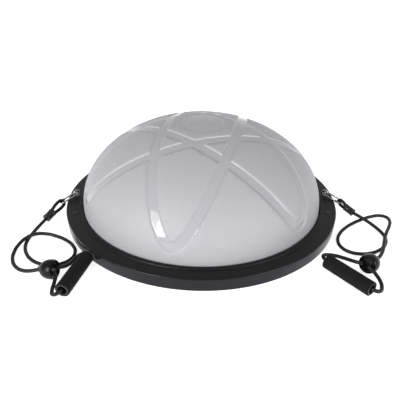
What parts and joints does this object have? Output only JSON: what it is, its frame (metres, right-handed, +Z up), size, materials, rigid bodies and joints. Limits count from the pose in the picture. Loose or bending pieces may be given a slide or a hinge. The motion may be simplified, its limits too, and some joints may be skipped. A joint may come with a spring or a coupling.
{
  "type": "balance dome trainer",
  "caption": "Inflated half dome clamped on a round black platform, with an elastic cord, stopper and foam grip clipped to an eye at each side.",
  "frame": {"origin": "on the floor under the middle of the dome, at the face of the middle pad", "axes": "+Z up along the dome's axis; +X towards the right-hand anchor; the grips lie on the -Y side"},
  "size_m": [0.7649, 0.604, 0.2],
  "materials": {
    "dome_skin": "matte pebbled fields with smooth satin bands",
    "ring_plastic": "satin moulded",
    "base_plastic": "fine textured",
    "membrane": "smooth",
    "steel": "zinc plated",
    "plug_plastic": "satin",
    "pad_rubber": "matte ribbed",
    "valve_plastic": "smooth",
    "chrome": "polished",
    "cord_rubber": "satin latex",
    "sleeve_plastic": "satin",
    "stopper_plastic": "semi-gloss",
    "tube_plastic": "satin",
    "grip_foam": "matte foam"
  },
  "bodies": {
    "platform": {"dome": "dome_skin", "platform_ring": "ring_plastic", "base_plate": "base_plastic", "air_membrane": "membrane", "clamp_screws": "steel", "ring_plugs": "plug_plastic", "grip_pads": "pad_rubber", "valve_seat": "valve_plastic", "left_eye_bolt": "chrome", "left_eye_washer": "steel", "left_eye_nut": "steel", "right_eye_bolt": "chrome", "right_eye_washer": "steel", "right_eye_nut": "steel"},
    "valve_plug": {"valve_plug": "valve_plastic"},
    "left_band": {"left_hook": "chrome", "left_gate_pin": "steel", "left_cord_eye": "cord_rubber", "left_sleeve": "sleeve_plastic", "left_cord": "cord_rubber", "left_stopper": "stopper_plastic", "left_collar": "sleeve_plastic", "left_grip_cord": "cord_rubber"},
    "left_gate": {"left_gate": "chrome", "left_gate_spring": "steel"},
    "left_grip": {"left_grip_tube": "tube_plastic", "left_grip_foam": "grip_foam"},
    "right_band": {"right_hook": "chrome", "right_gate_pin": "steel", "right_cord_eye": "cord_rubber", "right_sleeve": "sleeve_plastic", "right_cord": "cord_rubber", "right_stopper": "stopper_plastic", "right_collar": "sleeve_plastic", "right_grip_cord": "cord_rubber"},
    "right_gate": {"right_gate": "chrome", "right_gate_spring": "steel"},
    "right_grip": {"right_grip_tube": "tube_plastic", "right_grip_foam": "grip_foam"}
  },
  "joints": [
    {"name": "valve_plug_pull", "type": "slide", "parent": "platform", "child": "valve_plug", "axis": [0, 0, -1], "range_m": [0, 0.009]},
    {"name": "left_band_swing", "type": "hinge", "parent": "platform", "child": "left_band", "pos_m": [-0.27239, -0.00761, 0.0352], "axis": [0, 0, -1], "range_deg": [0, 20]},
    {"name": "left_gate_open", "type": "hinge", "parent": "left_band", "child": "left_gate", "pos_m": [-0.2982, -0.02292, 0.02673], "axis": [0.2927, 0.0355, -0.9556], "range_deg": [0, 22], "stiffness_Nm_per_rad": 0.02, "springref_deg": -17.19},
    {"name": "left_grip_spin", "type": "hinge", "parent": "left_band", "child": "left_grip", "pos_m": [-0.234, -0.307, 0.0135], "axis": [0.225, 0.9744, 0], "continuous": true},
    {"name": "right_band_swing", "type": "hinge", "parent": "platform", "child": "right_band", "pos_m": [0.27239, 0.00761, 0.0352], "axis": [0, 0, 1], "range_deg": [0, 20]},
    {"name": "right_gate_open", "type": "hinge", "parent": "right_band", "child": "right_gate", "pos_m": [0.29244, -0.01497, 0.02738], "axis": [-0.1542, 0.1983, -0.9679], "range_deg": [0, 22], "stiffness_Nm_per_rad": 0.02, "springref_deg": -17.19},
    {"name": "right_grip_spin", "type": "hinge", "parent": "right_band", "child": "right_grip", "pos_m": [0.295, -0.293, 0.0135], "axis": [-0.6115, 0.7912, 0], "continuous": true}
  ]
}
